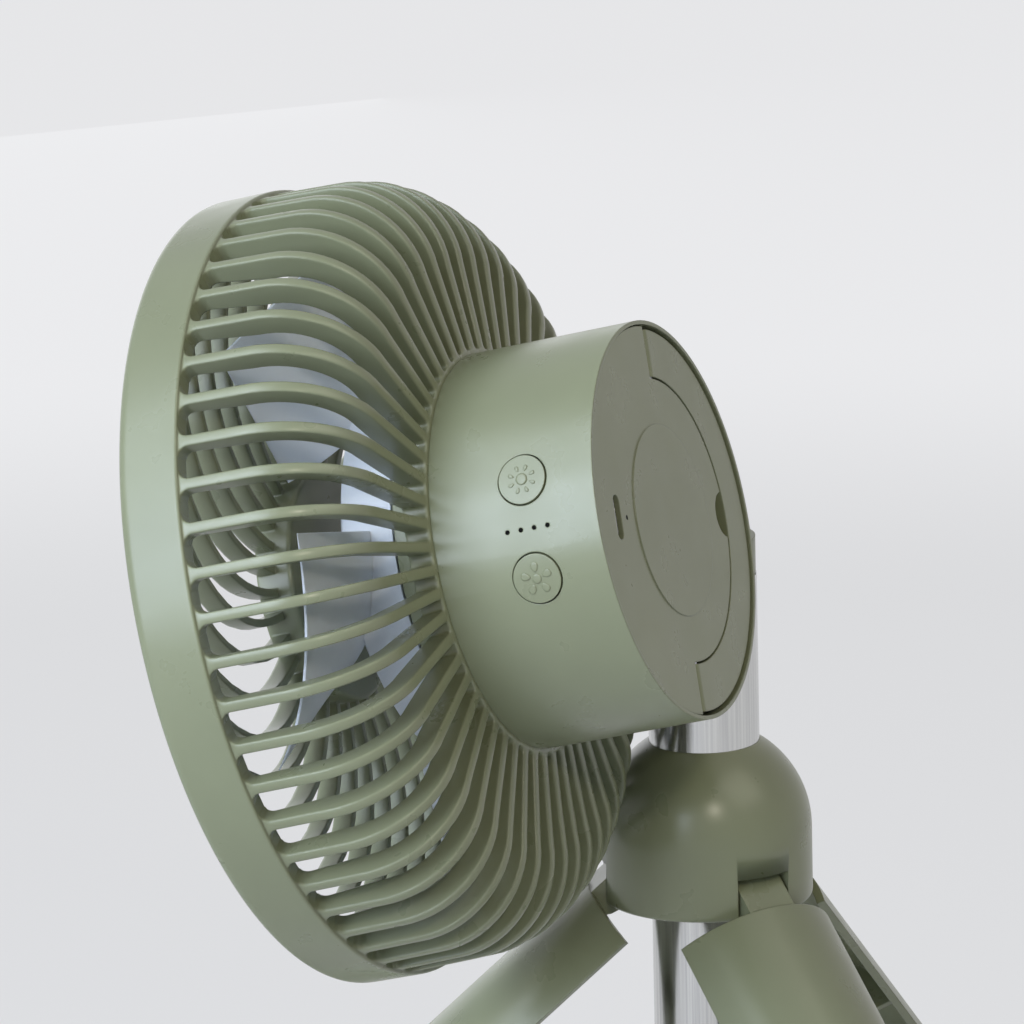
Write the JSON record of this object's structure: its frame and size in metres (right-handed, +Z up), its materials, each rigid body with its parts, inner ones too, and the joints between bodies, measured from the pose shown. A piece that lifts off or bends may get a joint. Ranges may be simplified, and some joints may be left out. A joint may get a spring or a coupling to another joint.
{
  "type": "portable tripod fan",
  "caption": "Portable fan with a caged rotor and lamp on a tilting drum, offset on a telescopic pole with a folding tripod.",
  "frame": {"origin": "centre of the footprint of the bounding box, on the plane that the feet stand on", "axes": "+Z up along the pole, the fan blows towards -Y, the two push buttons face +X"},
  "size_m": [0.35, 0.3376, 0.3259],
  "materials": {
    "green_plastic": "satin moulded olive green plastic",
    "green_leg": "satin moulded olive green plastic",
    "black_plastic": "matt black plastic",
    "tube_metal": "polished, with a soft brushed grain",
    "guide_plastic": "natural acetal",
    "foot_rubber": "matt rubber",
    "pin_steel": "plain steel",
    "screw_steel": "blackened steel",
    "board": "solder resist",
    "lens": "dark clear plastic",
    "cell_skin": "shrink sleeve over a metal can",
    "motor_metal": "zinc plated",
    "rotor_plastic": "frosted translucent white",
    "lamp_plastic": "milky diffuser",
    "socket_metal": "plated steel"
  },
  "bodies": {
    "base": {"hub_shell": "green_plastic", "hub_bottom_cap": "green_plastic", "hub_screws": "screw_steel", "leg_hinge_pins": "pin_steel", "outer_tube": "tube_metal", "tube_end_plug": "black_plastic"},
    "leg_one": {"leg_1": "green_leg", "foot_1": "foot_rubber"},
    "leg_two": {"leg_2": "green_leg", "foot_2": "foot_rubber"},
    "leg_three": {"leg_3": "green_leg", "foot_3": "foot_rubber"},
    "middle_pole": {"middle_tube": "tube_metal"},
    "inner_pole": {"inner_tube": "tube_metal", "swivel_stem": "pin_steel"},
    "neck": {"swivel_neck": "green_plastic"},
    "head": {"tilt_pin": "pin_steel", "tilt_washer": "guide_plastic", "drum_housing": "green_plastic", "rear_plate": "green_plastic", "handle_pins": "pin_steel", "usb_socket": "socket_metal", "main_board": "board", "switch_carrier": "black_plastic", "switches": "black_plastic", "indicator_lenses": "lens", "battery_cells": "cell_skin", "battery_cradle": "black_plastic", "motor_can": "motor_metal", "motor_screws": "screw_steel", "rear_grille": "green_plastic", "front_grille": "green_plastic", "lamp_board": "board", "lamp_cover": "lamp_plastic"},
    "rotor": {"fan_rotor": "rotor_plastic", "motor_shaft": "pin_steel"},
    "handle": {"carry_handle": "green_plastic"},
    "light_switch": {"light_button": "green_plastic"},
    "fan_switch": {"fan_button": "green_plastic"}
  },
  "joints": [
    {"name": "leg_one_fold", "type": "hinge", "parent": "base", "child": "leg_one", "pos_m": [0.02859, 0.02685, 0.14988], "axis": [-0.788, 0.6157, 0], "range_deg": [0, 48]},
    {"name": "leg_two_fold", "type": "hinge", "parent": "base", "child": "leg_two", "pos_m": [-0.00112, 0.01485, 0.14988], "axis": [-0.1392, -0.9903, 0], "range_deg": [0, 48]},
    {"name": "leg_three_fold", "type": "hinge", "parent": "base", "child": "leg_three", "pos_m": [0.02413, -0.00488, 0.14988], "axis": [0.9272, 0.3746, 0], "range_deg": [0, 48]},
    {"name": "middle_pole_slide", "type": "slide", "parent": "base", "child": "middle_pole", "axis": [0, 0, 1], "range_m": [0, 0.14]},
    {"name": "inner_pole_slide", "type": "slide", "parent": "middle_pole", "child": "inner_pole", "axis": [0, 0, 1], "range_m": [0, 0.135]},
    {"name": "neck_swivel", "type": "hinge", "parent": "inner_pole", "child": "neck", "pos_m": [0.0172, 0.01227, 0.22389], "axis": [0, 0, 1], "continuous": true},
    {"name": "head_tilt", "type": "hinge", "parent": "neck", "child": "head", "pos_m": [0.0172, 0.01227, 0.24988], "axis": [1, 0, 0], "range_deg": [-104, 1]},
    {"name": "rotor_spin", "type": "hinge", "parent": "head", "child": "rotor", "pos_m": [0.0842, -0.02907, 0.23958], "axis": [0, 0.9703, 0.2419], "continuous": true},
    {"name": "handle_swing", "type": "hinge", "parent": "head", "child": "handle", "pos_m": [0.08236, 0.02738, 0.25314], "axis": [0.2597, 0.2336, -0.937], "range_deg": [0, 90]},
    {"name": "light_button_press", "type": "slide", "parent": "head", "child": "light_switch", "axis": [-0.8738, 0.1177, -0.4719], "range_m": [0, 0.0006], "stiffness_N_per_m": 3000},
    {"name": "fan_button_press", "type": "slide", "parent": "head", "child": "fan_switch", "axis": [-0.9998, 0.0042, -0.0169], "range_m": [0, 0.0006], "stiffness_N_per_m": 3000}
  ]
}
